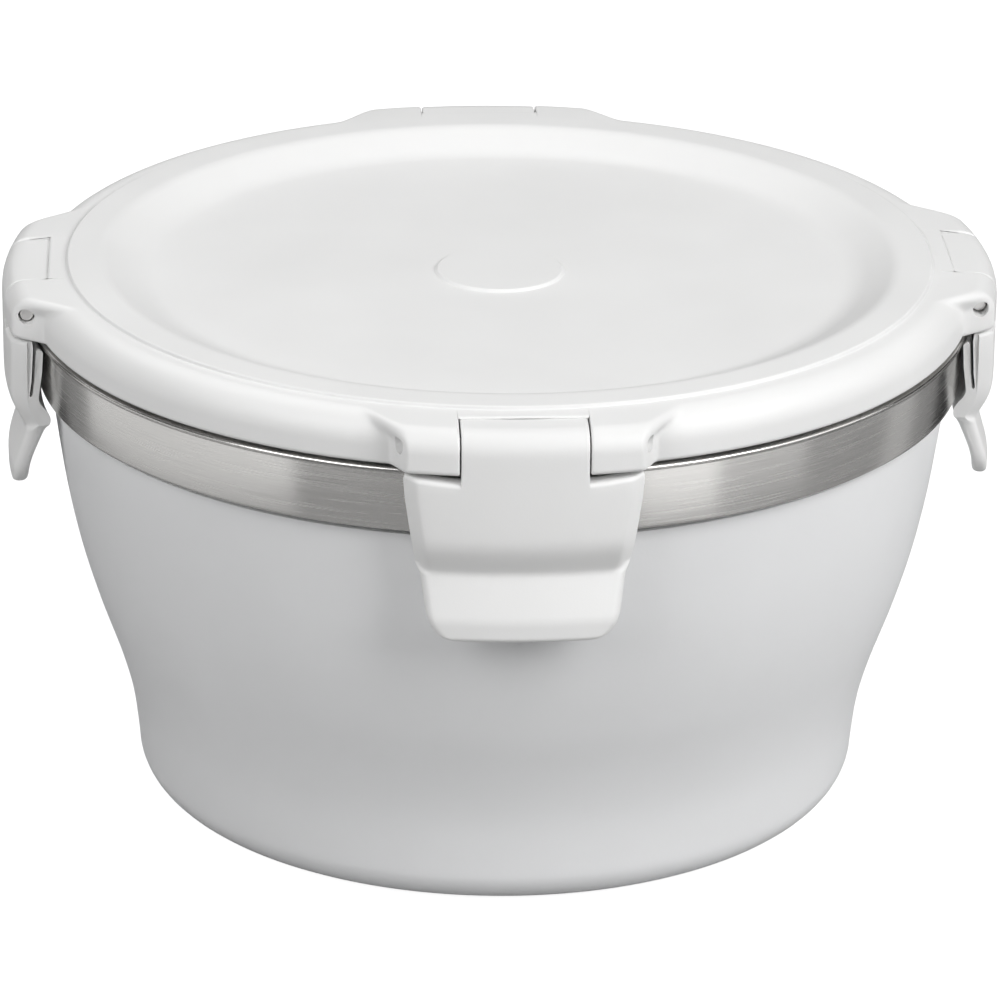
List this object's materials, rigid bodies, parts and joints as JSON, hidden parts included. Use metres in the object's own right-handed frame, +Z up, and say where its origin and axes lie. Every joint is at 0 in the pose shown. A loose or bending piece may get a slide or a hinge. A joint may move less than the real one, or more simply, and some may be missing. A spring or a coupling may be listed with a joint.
{
  "type": "lidded bowl",
  "caption": "Round food bowl: steel inner bowl with a bare band, coated shell with a waisted foot, and a white recessed lid held by pin-hinged snap latches.",
  "frame": {"origin": "centre of the base ring, on the surface the bowl stands on", "axes": "+Z up through the lid, -Y to the front latch, +X to the right latch"},
  "size_m": [0.181, 0.181, 0.1005],
  "materials": {
    "brushed_steel": "brushed round the band",
    "pale_coat": "matte powder coat",
    "white_plastic": "fine matte texture",
    "silicone": "translucent satin",
    "latch_plastic": "fine matte texture",
    "pin_steel": "ground"
  },
  "bodies": {
    "bowl": {"steel_bowl": "brushed_steel", "outer_shell": "pale_coat"},
    "lid": {"lid": "white_plastic", "lid_seal": "silicone", "pin_front": "pin_steel", "pin_right": "pin_steel", "pin_back": "pin_steel", "pin_left": "pin_steel"},
    "latch_front": {"latch_front": "latch_plastic"},
    "latch_right": {"latch_right": "latch_plastic"},
    "latch_back": {"latch_back": "latch_plastic"},
    "latch_left": {"latch_left": "latch_plastic"}
  },
  "joints": [
    {"name": "lid_lift", "type": "slide", "parent": "bowl", "child": "lid", "axis": [0, 0, 1], "range_m": [0, 0.06]},
    {"name": "latch_front_hinge", "type": "hinge", "parent": "lid", "child": "latch_front", "pos_m": [0, -0.0856, 0.09625], "axis": [-1, 0, 0], "range_deg": [-4.5, 140]},
    {"name": "latch_right_hinge", "type": "hinge", "parent": "lid", "child": "latch_right", "pos_m": [0.0856, 0, 0.09625], "axis": [0, -1, 0], "range_deg": [-4.5, 140]},
    {"name": "latch_back_hinge", "type": "hinge", "parent": "lid", "child": "latch_back", "pos_m": [0, 0.0856, 0.09625], "axis": [1, 0, 0], "range_deg": [-4.5, 140]},
    {"name": "latch_left_hinge", "type": "hinge", "parent": "lid", "child": "latch_left", "pos_m": [-0.0856, 0, 0.09625], "axis": [0, 1, 0], "range_deg": [-4.5, 140]}
  ]
}
